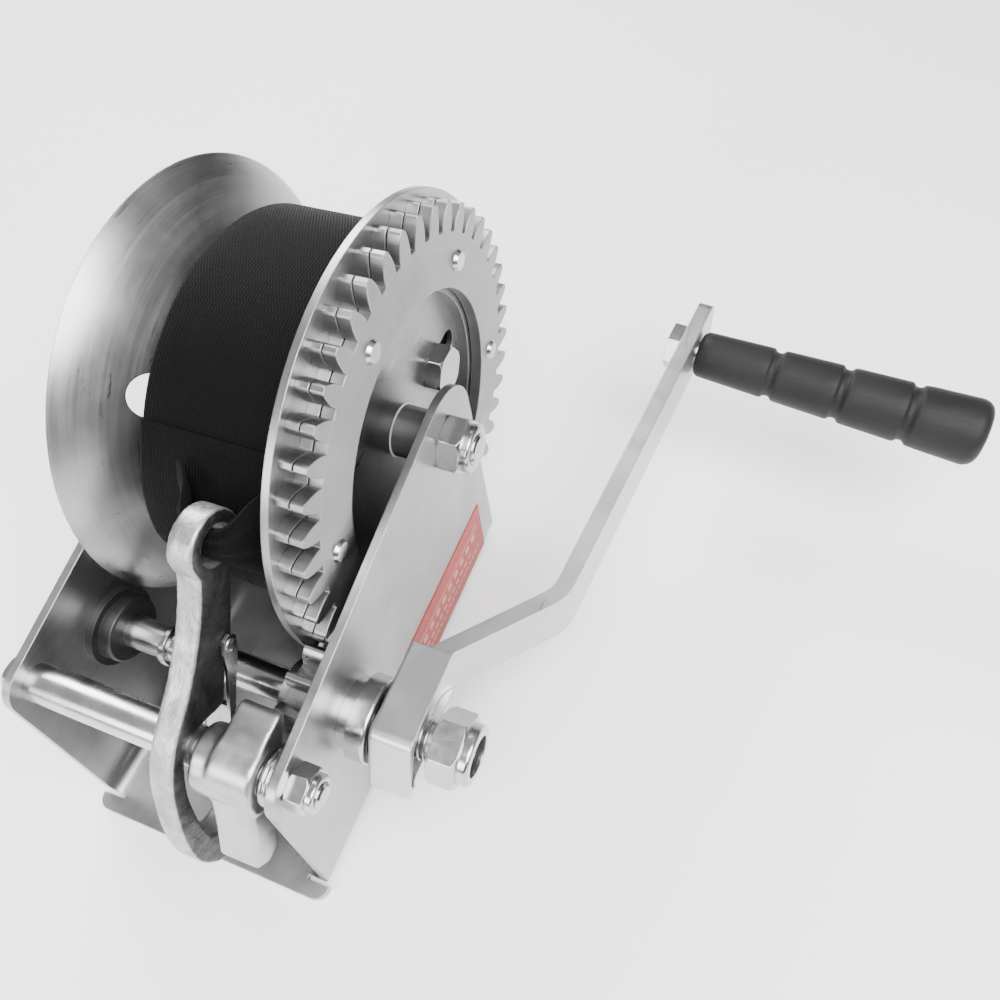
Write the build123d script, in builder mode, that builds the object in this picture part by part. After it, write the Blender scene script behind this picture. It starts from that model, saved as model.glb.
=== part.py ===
from build123d import *
import math
import os

os.makedirs("parts", exist_ok=True)

# Hand winch for a boat trailer. X runs along the shafts, crank on the +X side.
# Y runs along the base, hook end at -Y. Z is up from the underside of the base.
# The origin is the centre of the base bolt pattern, on the underside.

# Frame, one bent sheet
SHEET = 3.0
FRAME_WIDTH = 100.0
BASE_LENGTH = 168.0
BEND_RADIUS = 9.0
HALF = FRAME_WIDTH / 2
INNER = HALF - SHEET
SET_BACK = 7.0
TONGUE_CORNER = 5.0
RELIEF = 1.5
BASE_HOLE = 11.0
BASE_HOLE_X = 34.0
BASE_HOLE_Y = 63.0

# Shaft axes as (Y, Z)
TEETH_GEAR = 45
TEETH_PINION = 12
MODULE = 3.4
PRESSURE_ANGLE = math.radians(20)
BACKLASH = 1.2
CENTRES = MODULE * (TEETH_GEAR + TEETH_PINION) / 2
MESH_ANGLE = math.radians(201)
DRUM = (59.5, 96.0)
PINION = (DRUM[0] + CENTRES * math.cos(MESH_ANGLE), DRUM[1] + CENTRES * math.sin(MESH_ANGLE))
TIE = (-61.5, 78.0)
DRUM_LOBE = 20.2
TIE_LOBE = 11.2

# Drum, gear and strap
FLANGE_RADIUS = 82.4
DISH_RADIUS = 81.6
FLANGE_SHEET = 2.5
RIGHT_FACE = 30.0
LEFT_FACE = -22.0
LEFT_RIM = -44.6
DISH_START = 44.0
HUB_RADIUS = 22.0
HUB_WALL = 3.0
GEAR_PLATE = 4.3
GEAR_GAP = 0.5
GEAR_BACK = RIGHT_FACE + FLANGE_SHEET
GEAR_FRONT = GEAR_BACK + 2 * GEAR_PLATE + GEAR_GAP
GEAR_ADDENDUM = 3.0
GEAR_DEDENDUM = 6.4
GEAR_OPENING = 52.0
RIVET_CIRCLE = 61.0
RIVET_COUNT = 6
RIVET_PHASE = 46.0
STRAP_WIDTH = 50.0
STRAP_THICKNESS = 1.3
ROLL_RADIUS = 69.5
ROLL_LEFT = -21.0
CLAMP_RADIUS = 29.5
CLAMP_ANGLE = math.radians(4)
CLAMP_SLOT = 12.0
CLAMP_BOLT = 10.0

# Shafts and fasteners
DRUM_BOLT = 12.0
DRUM_NUT_AF = 19.0
TIE_BOLT = 8.0
TIE_TUBE = 13.0
TIE_NUT_AF = 13.0
PINION_SHAFT = 16.0
PINION_BACK = 33.2
PINION_FACE = 46.0
RUNNING = 0.06
CORNER = 0.5774

# Crank
SADDLE_LEFT = 63.0
SADDLE_RIGHT = 78.0
SADDLE_HALF = 15.6
SADDLE_NOSE = 19.0
ARM_THICK = 6.0
ARM_WIDTH = 24.4
CRANK_LENGTH = 192.0
LEAN = math.radians(5.25)
ARM_X = SADDLE_LEFT + SHEET + ARM_THICK / 2 + 0.2
STUD_END = 90.0
NUT_LEFT = 81.4
NUT_HEIGHT = 13.6
CRANK_NUT_AF = 22.0
GRIP_LENGTH = 114.0

# Pawl
PAWL_START = 19.0
PAWL_END = 41.5
TOOTH_START = 26.0
TOOTH_END = 40.5

# Hook
HOOK_MID = 12.4
HOOK_THICK = 8.5
EYE_ANGLE = math.radians(156.5)
EYE_REACH = ROLL_RADIUS + 15.2
EYE = (DRUM[0] + EYE_REACH * math.cos(EYE_ANGLE), DRUM[1] + EYE_REACH * math.sin(EYE_ANGLE))
EYE_OUTER = 11.0
EYE_HOLE = 6.4
HOOK_END = (-85.0, 24.0)
HOOK_LEAN = math.atan2(HOOK_END[1] - EYE[1], HOOK_END[0] - EYE[0])
LATCH_PIVOT = (35.5, -3.4)


def side(x, centre, turn=0.0):
    """Plane facing +X at x with its origin on a shaft axis and local x along +Y."""
    direction = (0, math.cos(turn), math.sin(turn))
    return Plane(origin=(x, centre[0], centre[1]), x_dir=direction, z_dir=(1, 0, 0))


def save(part, label):
    part.label = label
    export_step(part, f"parts/{label}.step")


def ring(x0, x1, centre, outer, inner, edge=0.0):
    """Plain bush, tube or washer between two X positions."""
    with BuildPart() as body:
        with BuildSketch(side(x0, centre)):
            Circle(outer)
            if inner:
                Circle(inner, mode=Mode.SUBTRACT)
        extrude(amount=x1 - x0)
        if edge:
            rims = body.edges().filter_by(GeomType.CIRCLE).filter_by(lambda e: e.radius > outer - 0.01)
            chamfer(rims, edge)
    return body.part


def lock_nut(x0, centre, flats, height, bore, turn=0.0):
    """Hexagon nut with a domed collar that holds a nylon ring."""
    collar = flats * 0.46
    blank = ring(x0, x0 + height * 0.72, centre, flats * CORNER - 0.1, 0, flats * 0.05)
    with BuildPart() as nut:
        with BuildSketch(side(x0, centre, turn)):
            RegularPolygon(flats / 2, 6, major_radius=False)
        extrude(amount=height * 0.72)
        add(blank, mode=Mode.INTERSECT)
        with BuildSketch(side(x0 + height * 0.72, centre)):
            Circle(collar)
        extrude(amount=height * 0.28)
        fillet(nut.faces().sort_by(Axis.X)[-1].edges(), height * 0.1)
        with BuildSketch(side(x0, centre)):
            Circle(bore)
        extrude(amount=height, mode=Mode.SUBTRACT)
        with BuildSketch(side(x0 + height * 0.8, centre)):
            Circle(bore + flats * 0.1)
        extrude(amount=height * 0.12, mode=Mode.SUBTRACT)
    return nut.part


def hex_bolt(head_x, shank_end, centre, flats, head, radius, direction=1, tip=0.8):
    """Hexagon bolt: the head's bearing face is at head_x and the shank runs to shank_end."""
    ends = sorted((head_x, head_x - direction * head))
    blank = ring(*ends, centre, flats * CORNER - 0.1, 0, flats * 0.05)
    with BuildPart() as bolt:
        with BuildSketch(side(head_x, centre)):
            RegularPolygon(flats / 2, 6, major_radius=False)
        extrude(amount=-direction * head)
        add(blank, mode=Mode.INTERSECT)
        with BuildSketch(side(head_x, centre)):
            Circle(radius)
        extrude(amount=shank_end - head_x)
        end = bolt.faces().sort_by(Axis.X)[-1 if direction > 0 else 0]
        chamfer(end.edges(), tip)
    return bolt.part


def make_frame():
    height = DRUM[1] + DRUM_LOBE + 5
    with BuildPart() as frame:
        with BuildSketch(Plane.XZ):
            with Locations((0, height / 2)):
                Rectangle(FRAME_WIDTH, height)
            with Locations((0, SHEET + height / 2)):
                Rectangle(2 * INNER, height, mode=Mode.SUBTRACT)
        extrude(amount=BASE_LENGTH / 2, both=True)
        bends = frame.edges().filter_by(Axis.Y)
        fillet(bends.group_by(Axis.Z)[0], BEND_RADIUS)
        inside = frame.edges().filter_by(Axis.Y).filter_by_position(Axis.Z, SHEET, SHEET)
        fillet(inside, BEND_RADIUS - SHEET)
        with BuildSketch(Plane.YZ) as outline:
            with Locations(DRUM):
                Circle(DRUM_LOBE)
            with Locations(TIE):
                Circle(TIE_LOBE)
            with Locations((SET_BACK / 2, SHEET)):
                Rectangle(BASE_LENGTH - SET_BACK, 2 * SHEET)
            make_hull(mode=Mode.REPLACE)
        extrude(amount=FRAME_WIDTH, both=True, mode=Mode.INTERSECT)
        with BuildSketch(Plane.XY) as tongue:
            with Locations((0, (SET_BACK - BASE_LENGTH) / 2)):
                Rectangle(FRAME_WIDTH, SET_BACK)
            fillet(tongue.vertices().group_by(Axis.Y)[0], TONGUE_CORNER)
        extrude(amount=SHEET)
        with BuildSketch(Plane.XY):
            with Locations((0, SET_BACK - (BASE_LENGTH + RELIEF) / 2)):
                with GridLocations(2 * HALF - BEND_RADIUS, 0, 2, 1):
                    Rectangle(BEND_RADIUS, RELIEF)
        extrude(amount=SHEET, mode=Mode.SUBTRACT)
        holes = ((DRUM, DRUM_BOLT / 2 + 0.1), (TIE, TIE_BOLT / 2 + 0.1), (PINION, 10.0))
        for centre, radius in holes:
            with BuildSketch(side(0, centre)):
                Circle(radius)
            extrude(amount=FRAME_WIDTH, both=True, mode=Mode.SUBTRACT)
        with BuildSketch(Plane.XY):
            with GridLocations(2 * BASE_HOLE_X, 2 * BASE_HOLE_Y, 2, 2):
                Circle(BASE_HOLE / 2)
        extrude(amount=SHEET, mode=Mode.SUBTRACT)
    return frame.part


def make_label():
    with BuildPart() as label:
        with BuildSketch(side(HALF, (37.0, 22.0))):
            Rectangle(72.0, 31.0)
        extrude(amount=0.3)
    return label.part


def make_pinion_bearing():
    """Collar on a neck on the right side plate, with a bushing bore and an open counterbore."""
    neck = HALF + 4.5
    face = HALF + 11.5
    with BuildPart() as bearing:
        with BuildSketch(side(INNER, PINION)):
            Circle(10.0)
        extrude(amount=SHEET)
        with BuildSketch(side(HALF, PINION)):
            Circle(12.2)
        extrude(amount=neck - HALF)
        with BuildSketch(side(neck, PINION)):
            Circle(14.6)
        extrude(amount=face - neck)
        fillet(bearing.faces().sort_by(Axis.X)[-1].edges(), 1.2)
        with BuildSketch(side(INNER, PINION)):
            Circle(PINION_SHAFT / 2 + RUNNING)
        extrude(amount=face - INNER, mode=Mode.SUBTRACT)
        with BuildSketch(side(neck + 1.5, PINION)):
            Circle(11.8)
        extrude(amount=face - neck, mode=Mode.SUBTRACT)
    return bearing.part


def make_left_bushing():
    with BuildPart() as bushing:
        with BuildSketch(side(-HALF, PINION)):
            Circle(10.0)
        extrude(amount=SHEET)
        with BuildSketch(side(-INNER, PINION)):
            Circle(14.8)
        extrude(amount=3.0)
        with BuildSketch(side(-INNER + 3.0, PINION)):
            Circle(12.0)
        extrude(amount=5.0)
        fillet(bushing.faces().sort_by(Axis.X)[-1].edges(), 1.0)
        with BuildSketch(side(-HALF, PINION)):
            Circle(6.0 + RUNNING)
        extrude(amount=SHEET + 8.0, mode=Mode.SUBTRACT)
    return bushing.part


def involute(base, radius):
    """Polar angle that an involute from this base circle has unrolled at a radius."""
    if radius <= base:
        return 0.0
    pressure = math.acos(base / radius)
    return math.tan(pressure) - pressure


def polar(radius, angle):
    return (radius * math.cos(angle), radius * math.sin(angle))


def tooth_flank(teeth, root, tip):
    """Half tooth angles at the foot, the middle and the tip of an involute flank."""
    pitch = MODULE * teeth / 2
    base = pitch * math.cos(PRESSURE_ANGLE)
    half = (math.pi * MODULE / 2 - BACKLASH / 2) / (2 * pitch)
    foot = max(root, base)
    middle = (foot + tip) / 2
    at_pitch = involute(base, pitch)
    return [(r, half + at_pitch - involute(base, r)) for r in (foot, middle, tip)]


def toothed_disc(teeth, root, tip, phase):
    """Gear outline: one tooth with involute flanks, repeated round a root disc."""
    round_off = 0.6
    (foot, wide), (middle, mid), (shoulder, narrow) = tooth_flank(teeth, root, tip - round_off)
    crest = narrow - round_off / tip
    with BuildSketch() as tooth:
        with BuildLine():
            buried = root - 0.5
            Polyline(polar(foot, wide), polar(buried, wide), polar(buried, -wide), polar(foot, -wide))
            ThreePointArc(polar(foot, -wide), polar(middle, -mid), polar(shoulder, -narrow))
            Line(polar(shoulder, -narrow), polar(tip, -crest))
            ThreePointArc(polar(tip, -crest), (tip, 0), polar(tip, crest))
            Line(polar(tip, crest), polar(shoulder, narrow))
            ThreePointArc(polar(shoulder, narrow), polar(middle, mid), polar(foot, wide))
        make_face()
    with BuildSketch() as disc:
        Circle(root)
        with PolarLocations(0, teeth, start_angle=phase):
            add(tooth.sketch)
    return disc.sketch


def make_gear_plate(x0, opening):
    root = MODULE * TEETH_GEAR / 2 - GEAR_DEDENDUM
    tip = MODULE * TEETH_GEAR / 2 + GEAR_ADDENDUM
    outline = toothed_disc(TEETH_GEAR, root, tip, math.degrees(MESH_ANGLE))
    with BuildPart() as gear:
        with BuildSketch(side(x0, DRUM)):
            add(outline)
            Circle(opening, mode=Mode.SUBTRACT)
            with PolarLocations(RIVET_CIRCLE, RIVET_COUNT, start_angle=RIVET_PHASE):
                Circle(3.0, mode=Mode.SUBTRACT)
        extrude(amount=GEAR_PLATE)
    return gear.part


def make_gear_rivets():
    """Rivets through both gear plates and the flange, with low heads at both ends."""
    front = GEAR_FRONT
    with BuildPart() as rivets:
        with BuildSketch(side(RIGHT_FACE - 0.8, DRUM)):
            with PolarLocations(RIVET_CIRCLE, RIVET_COUNT, start_angle=RIVET_PHASE):
                Circle(3.0)
        extrude(amount=front + 1.6 - RIGHT_FACE)
        with BuildSketch(side(front, DRUM)):
            with PolarLocations(RIVET_CIRCLE, RIVET_COUNT, start_angle=RIVET_PHASE):
                Circle(3.9)
        extrude(amount=1.4, taper=30)
        with BuildSketch(side(RIGHT_FACE - 0.8, DRUM)):
            with PolarLocations(RIVET_CIRCLE, RIVET_COUNT, start_angle=RIVET_PHASE):
                Circle(3.9)
        extrude(amount=0.8)
    return rivets.part


def clamp_centre():
    return (DRUM[0] + CLAMP_RADIUS * math.cos(CLAMP_ANGLE), DRUM[1] + CLAMP_RADIUS * math.sin(CLAMP_ANGLE))


def make_right_flange():
    with BuildPart() as flange:
        with BuildSketch(side(RIGHT_FACE, DRUM)):
            Circle(FLANGE_RADIUS)
            Circle(10.1, mode=Mode.SUBTRACT)
            with PolarLocations(RIVET_CIRCLE, RIVET_COUNT, start_angle=RIVET_PHASE):
                Circle(3.0, mode=Mode.SUBTRACT)
            with PolarLocations(CLAMP_RADIUS + CLAMP_SLOT / 2, 1, start_angle=math.degrees(CLAMP_ANGLE)):
                SlotCenterToCenter(CLAMP_SLOT, CLAMP_BOLT + 1.0, mode=Mode.SUBTRACT)
        extrude(amount=FLANGE_SHEET)
    return flange.part


def make_left_flange():
    """Spun dish: flat at the hub, flaring out to the rim, revolved round the drum axis."""
    flat = LEFT_FACE - FLANGE_SHEET
    with BuildPart() as flange:
        with BuildSketch(Plane(origin=(0, *DRUM), x_dir=(1, 0, 0), z_dir=(0, -1, 0))):
            with BuildLine():
                Line((LEFT_FACE, 10.1), (LEFT_FACE, DISH_START))
                inner = Spline(
                    (LEFT_FACE, DISH_START), (LEFT_FACE - 7.0, 62.0), (LEFT_RIM, DISH_RADIUS),
                    tangents=((0, 1), (-1.0, 0.75)),
                )
                Line(inner @ 1, (LEFT_RIM - 1.5, DISH_RADIUS - 2.0))
                outer = Spline(
                    (LEFT_RIM - 1.5, DISH_RADIUS - 2.0), (LEFT_FACE - 9.3, 61.4), (flat, DISH_START),
                    tangents=((1.0, -0.75), (0, -1)),
                )
                Line(outer @ 1, (flat, 10.1))
                Line((flat, 10.1), (LEFT_FACE, 10.1))
            make_face()
        revolve(axis=Axis((0, *DRUM), (1, 0, 0)))
        with BuildSketch(side(-60, clamp_centre())):
            Circle(CLAMP_BOLT / 2 + 0.3)
        extrude(amount=60, mode=Mode.SUBTRACT)
        with BuildSketch(side(-60, DRUM)):
            with PolarLocations(58.0, 1, start_angle=134):
                Circle(7.2)
        extrude(amount=60, mode=Mode.SUBTRACT)
    return flange.part


def make_strap_roll():
    """Wound webbing: a closed ring between the flanges, with the clamp bolt through it."""
    with BuildPart() as roll:
        with BuildSketch(side(ROLL_LEFT, DRUM)):
            Circle(ROLL_RADIUS)
            Circle(HUB_RADIUS, mode=Mode.SUBTRACT)
        extrude(amount=STRAP_WIDTH)
        with BuildSketch(side(ROLL_LEFT, clamp_centre())):
            Circle(CLAMP_BOLT / 2)
        extrude(amount=STRAP_WIDTH, mode=Mode.SUBTRACT)
    return roll.part


def make_drum_bushings():
    """Two flanged bushings that carry the drum on its bolt."""
    bore = DRUM_BOLT / 2 + RUNNING
    with BuildPart() as bushings:
        left_end = LEFT_FACE - FLANGE_SHEET
        right_end = RIGHT_FACE + FLANGE_SHEET
        for x0, x1 in ((left_end, LEFT_FACE + 6), (RIGHT_FACE - 6, right_end)):
            with BuildSketch(side(x0, DRUM)):
                Circle(10.1)
                Circle(bore, mode=Mode.SUBTRACT)
            extrude(amount=x1 - x0)
        for x0, x1 in ((LEFT_FACE, LEFT_FACE + 6), (RIGHT_FACE - 6, RIGHT_FACE)):
            with BuildSketch(side(x0, DRUM)):
                Circle(HUB_RADIUS - HUB_WALL)
                Circle(10.1, mode=Mode.SUBTRACT)
            extrude(amount=x1 - x0)
    return bushings.part


def make_pinion():
    root = CENTRES - MODULE * TEETH_GEAR / 2 - GEAR_ADDENDUM - 0.6
    tip = MODULE * TEETH_PINION / 2 + GEAR_ADDENDUM
    phase = math.degrees(MESH_ANGLE) + 180 + 180 / TEETH_PINION
    outline = toothed_disc(TEETH_PINION, root, tip, phase)
    with BuildPart() as pinion:
        with BuildSketch(side(PINION_BACK, PINION)):
            add(outline)
        extrude(amount=PINION_FACE - PINION_BACK)
        with BuildSketch(side(PINION_BACK - 5.0, PINION)):
            Circle(12.0)
        extrude(amount=5.0)
        with BuildSketch(side(0, PINION)):
            Circle(PINION_SHAFT / 2)
        extrude(amount=60, mode=Mode.SUBTRACT)
    return pinion.part


def make_pinion_shaft():
    """Stepped shaft: left journal, main diameter, two flats for the crank and a threaded end."""
    shoulder = PINION_BACK - 6.0
    steps = ((-HALF, shoulder, 6.0), (shoulder, SADDLE_LEFT - 0.2, PINION_SHAFT / 2),
             (SADDLE_LEFT - 0.2, STUD_END, 7.0))
    with BuildPart() as shaft:
        for x0, x1, radius in steps:
            with BuildSketch(side(x0, PINION)):
                Circle(radius)
            extrude(amount=x1 - x0)
        chamfer(shaft.faces().sort_by(Axis.X)[-1].edges(), 1.0)
        chamfer(shaft.faces().sort_by(Axis.X)[0].edges(), 0.8)
    return shaft.part


def saddle_outline(inset):
    """Outline of the saddle's cup, drawn inward by a wall's thickness."""
    half = SADDLE_HALF - inset
    nose = -SADDLE_NOSE + inset
    with BuildSketch() as outline:
        with BuildLine():
            FilletPolyline(
                (24, half), (-9 + inset / 2, half), (nose, -half + 9), (nose + 5, -half), (24, -half),
                radius=4.0,
            )
            Line((24, -half), (24, half))
        make_face()
    return outline.sketch


def make_saddle():
    """Crank saddle: a cup that faces +X, open at its +Y end, slanted and closed at the other."""
    outer = saddle_outline(0)
    inner = saddle_outline(SHEET)
    with BuildPart() as saddle:
        with BuildSketch(side(SADDLE_LEFT, PINION)):
            add(outer)
        extrude(amount=SADDLE_RIGHT - SADDLE_LEFT)
        with BuildSketch(side(SADDLE_LEFT + SHEET, PINION)):
            add(inner)
        extrude(amount=SADDLE_RIGHT - SADDLE_LEFT, mode=Mode.SUBTRACT)
        with BuildSketch(Plane.XZ.offset(-PINION[0])):
            with BuildLine():
                Polyline((SADDLE_LEFT + 4, PINION[1] - 30), (SADDLE_RIGHT + 1, PINION[1] - 30),
                         (SADDLE_RIGHT + 1, PINION[1] - 5), (SADDLE_LEFT + 4, PINION[1] - 30))
            make_face()
        extrude(amount=30, both=True, mode=Mode.SUBTRACT)
        fillet(saddle.faces().sort_by(Axis.X)[0].edges(), 1.6)
        with BuildSketch(side(SADDLE_LEFT, PINION)):
            Circle(7.0)
        extrude(amount=SHEET, mode=Mode.SUBTRACT)
    return saddle.part


def arm_points():
    """Centre line of the crank arm as (X, distance along +Y from the pinion axis)."""
    tip_reach = CRANK_LENGTH + 20.0
    knee = (103.0, 58.0)
    lean = math.tan(LEAN)
    return [(ARM_X, -12.0), (ARM_X, 21.0), knee, (knee[0] + (tip_reach - knee[1]) * lean, tip_reach)]


def make_arm():
    """Flat bar bent twice, rounded at both ends, with the grip bolt's hole near its tip."""
    with BuildPart() as arm:
        with BuildSketch(Plane(origin=(0, *PINION))):
            with BuildLine():
                FilletPolyline(*arm_points(), radius=14.0)
            trace(line_width=ARM_THICK)
        extrude(amount=ARM_WIDTH / 2, both=True)
        ends = [arm.faces().filter_by(GeomType.PLANE).sort_by(Axis.Y)[i] for i in (0, -1)]
        corners = [end.edges().filter_by(lambda e: abs(e.length - ARM_THICK) < 0.1) for end in ends]
        fillet(corners[0], ARM_WIDTH / 2 - 0.5)
        fillet(corners[1], 6.0)
        with BuildSketch(side(0, PINION)):
            Circle(7.0)
        extrude(amount=80, mode=Mode.SUBTRACT)
        with BuildSketch(grip_plane(-20)):
            Circle(5.0)
        extrude(amount=40, mode=Mode.SUBTRACT)
    return arm.part


def grip_plane(along):
    """Plane square to the grip axis, at a distance from the arm's middle."""
    points = arm_points()
    (x0, y0), (x1, y1) = points[-2], points[-1]
    part_way = (CRANK_LENGTH - y0) / (y1 - y0)
    axis = Vector(math.cos(LEAN), -math.sin(LEAN), 0)
    origin = Vector(x0 + part_way * (x1 - x0), PINION[0] + CRANK_LENGTH, PINION[1])
    return Plane(origin=origin + axis * along, x_dir=(math.sin(LEAN), math.cos(LEAN), 0), z_dir=axis)


def make_grip_bolt():
    head = 6.0
    with BuildPart() as bolt:
        with BuildSketch(grip_plane(-ARM_THICK / 2)):
            RegularPolygon(8.5, 6, major_radius=False)
        extrude(amount=-head)
        with BuildSketch(grip_plane(-ARM_THICK / 2)):
            Circle(5.0)
        extrude(amount=ARM_THICK + GRIP_LENGTH - 8.0)
    return bolt.part


GRIP_START = ARM_THICK / 2 + 1.0


def make_grip():
    """Rubber grip, wider toward its free end, with three grooves, bored for its bolt and nut."""
    start = GRIP_START
    grooves = (29.5, 57.0, 83.5)
    profile = [(0.0, 8.6), (1.4, 9.6)]
    for x in grooves:
        rim = 9.6 + 3.6 * x / GRIP_LENGTH
        profile += [(x, rim), (x + 1.2, rim - 1.3), (x + 3.2, rim - 1.3), (x + 4.4, rim + 0.3)]
    shoulder = (GRIP_LENGTH - 4.0, 13.4)
    crown = (GRIP_LENGTH, 9.6)
    with BuildPart() as grip:
        frame = grip_plane(start)
        turned = Plane(origin=frame.origin, x_dir=frame.z_dir, z_dir=frame.x_dir)
        with BuildSketch(turned):
            with BuildLine():
                Polyline((0, 0), *profile, shoulder)
                ThreePointArc(shoulder, (GRIP_LENGTH - 1.1, 12.2), crown)
                Polyline(crown, (GRIP_LENGTH, 0), (0, 0))
            make_face()
        revolve(axis=Axis(frame.origin, frame.z_dir))
        with BuildSketch(grip_plane(start)):
            Circle(5.0 + RUNNING)
        extrude(amount=GRIP_LENGTH - 14, mode=Mode.SUBTRACT)
        with BuildSketch(grip_plane(start + GRIP_LENGTH - 22)):
            Circle(9.2)
        extrude(amount=18.0, mode=Mode.SUBTRACT)
    return grip.part


def make_grip_nut():
    with BuildPart() as nut:
        with BuildSketch(grip_plane(GRIP_START + GRIP_LENGTH - 20)):
            RegularPolygon(7.5, 6, major_radius=False)
            Circle(5.0, mode=Mode.SUBTRACT)
        extrude(amount=9.0)
    return nut.part


def pawl_tooth(direction, heel_side):
    """Tooth outline as a closed list: heel_side is +1 or -1, the side the tooth's back is on."""
    lobe = 10.6
    reach = 19.0
    return [
        (0, 0), polar(lobe, direction - heel_side * 0.42), polar(reach - 2.6, direction - heel_side * 0.1),
        polar(reach, direction), polar(reach - 0.6, direction + heel_side * 0.14),
        polar(lobe, direction + heel_side * 0.85), (0, 0),
    ]


def make_pawl():
    """Two-way pawl: a long boss on the tie tube, a tooth on each side and a thumb tail."""
    upper = math.radians(30)
    lower = math.radians(-108)
    tail = math.radians(-119)
    with BuildPart() as pawl:
        with BuildSketch(side(PAWL_START, TIE)):
            Circle(9.4)
            with Locations((-2.2, -2.4)):
                Circle(9.8)
        extrude(amount=PAWL_END - PAWL_START)
        with BuildSketch(side(TOOTH_START, TIE)):
            Circle(10.6)
            with BuildLine():
                Polyline(pawl_tooth(upper, 1))
            make_face()
            with BuildLine():
                Polyline(pawl_tooth(lower, -1))
            make_face()
            with BuildLine():
                Polyline(
                    (0, 0), polar(10.6, tail + 0.9), polar(20, tail + 0.32), polar(37, tail + 0.15),
                    polar(40, tail), polar(37, tail - 0.17), polar(20, tail - 0.40),
                    polar(10.6, tail - 1.1), (0, 0),
                )
            make_face()
        extrude(amount=TOOTH_END - TOOTH_START)
        with BuildSketch(side(0, TIE)):
            Circle(TIE_TUBE / 2 + RUNNING)
        extrude(amount=60, mode=Mode.SUBTRACT)
    return pawl.part


def make_pawl_spring():
    """Flat coils of a torsion spring, side by side round the tie tube."""
    wire = 0.8
    with BuildPart() as spring:
        for x in (42.5, 44.3, 46.1):
            with BuildSketch(Plane(origin=(x, TIE[0], TIE[1]), x_dir=(1, 0, 0), z_dir=(0, -1, 0))):
                with Locations((0, 8.2)):
                    Circle(wire)
            revolve(axis=Axis((x, *TIE), (1, 0, 0)))
    return spring.part


def hook_plane(x):
    """Hook's own plane: local x runs from the eye to the bend, local y toward the spine."""
    along = (0, math.cos(HOOK_LEAN), math.sin(HOOK_LEAN))
    return Plane(origin=(x, *EYE), x_dir=along, z_dir=(-1, 0, 0))


def make_hook():
    left = HOOK_MID - HOOK_THICK / 2
    right = HOOK_MID + HOOK_THICK / 2
    with BuildPart() as hook:
        with BuildSketch(hook_plane(right)):
            with BuildLine():
                outer = Spline(
                    (7, 7.5), (32, 10), (48, 15.5), (58, 20), (69, 22.2), (84, 21), (104, 16), (121, 6),
                    (127, -6), (119, -15.5), (102, -15.5), (85, -13),
                )
                Line(outer @ 1, (84.5, -7.6))
                inner = Spline(
                    (84.5, -7.6), (100, -8), (110, -5.5), (110.5, 1), (101, 8.5), (86, 14), (72, 16.2),
                    (62.5, 14.5), (59.2, 8), (59.0, 2),
                )
                Polyline(inner @ 1, (58, -3), (44, -3.6), (37, -6.6), (7, -7), outer @ 0)
            make_face()
            Circle(EYE_OUTER)
            Circle(EYE_HOLE, mode=Mode.SUBTRACT)
        extrude(amount=HOOK_THICK)
        with BuildSketch(hook_plane(right)):
            with Locations(LATCH_PIVOT):
                Circle(1.6)
        extrude(amount=HOOK_THICK, mode=Mode.SUBTRACT)
    return hook.part


def make_latch():
    """Folded safety latch: a thin blade with two ears round the shank."""
    outer = HOOK_MID + HOOK_THICK / 2 + 1.5
    width = HOOK_THICK + 3.0
    with BuildPart() as latch:
        with BuildSketch(hook_plane(outer)):
            with BuildLine():
                Polyline(
                    (32, -3.4), (33.4, -1), (37.6, -0.6), (46, -2.6), (88, -5.2), (88, -6.6), (60, -6.4),
                    (40, -7.6), (34, -6.6), (32, -3.4),
                )
            make_face()
            with Locations(LATCH_PIVOT):
                Circle(1.6 + RUNNING, mode=Mode.SUBTRACT)
        extrude(amount=width)
        with BuildSketch(hook_plane(outer - 1.1)):
            with BuildLine():
                Polyline((24, 12), (89, 12), (89, -5.2), (61, -4.4), (61, -9), (24, -9), (24, 12))
            make_face()
        extrude(amount=width - 2.2, mode=Mode.SUBTRACT)
    return latch.part


def make_latch_pin():
    with BuildPart() as pin:
        with BuildSketch(hook_plane(HOOK_MID + HOOK_THICK / 2 + 2.3)):
            with Locations(LATCH_PIVOT):
                Circle(1.6)
        extrude(amount=HOOK_THICK + 4.6)
    return pin.part


def make_strap_tail():
    """End of the webbing: a pad that lies on the roll, with a fold through the hook's eye."""
    near = ROLL_RADIUS + 0.5
    far = near + 2 * STRAP_THICKNESS
    first, last = math.radians(138), math.radians(176)
    fold = EYE_HOLE - 0.4
    with BuildPart() as tail:
        with BuildSketch(side(ROLL_LEFT, DRUM)):
            with BuildLine():
                CenterArc((0, 0), near, math.degrees(first), math.degrees(last - first))
                CenterArc((0, 0), far, math.degrees(first), math.degrees(last - first))
                Line(polar(near, first), polar(far, first))
                Line(polar(near, last), polar(far, last))
            make_face()
        extrude(amount=STRAP_WIDTH)
        for x in (HOOK_MID - HOOK_THICK / 2 - 7.0, HOOK_MID + HOOK_THICK / 2 + 1.0):
            with BuildSketch(side(x, DRUM, EYE_ANGLE)):
                with Locations(((near + 1 + EYE_REACH) / 2, 0)):
                    Rectangle(EYE_REACH - near - 1, 2 * fold)
                with Locations((EYE_REACH, 0)):
                    Circle(fold)
            extrude(amount=6.0)
        with BuildSketch(side(HOOK_MID - HOOK_THICK / 2 - 2.0, EYE)):
            Circle(fold)
        extrude(amount=HOOK_THICK + 4.0)
    return tail.part


def nut_insert(x0, centre, flats, height, bore):
    """Nylon ring that sits in the groove of a lock nut."""
    return ring(x0 + height * 0.8, x0 + height * 0.92, centre, bore + flats * 0.1, bore)


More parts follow.
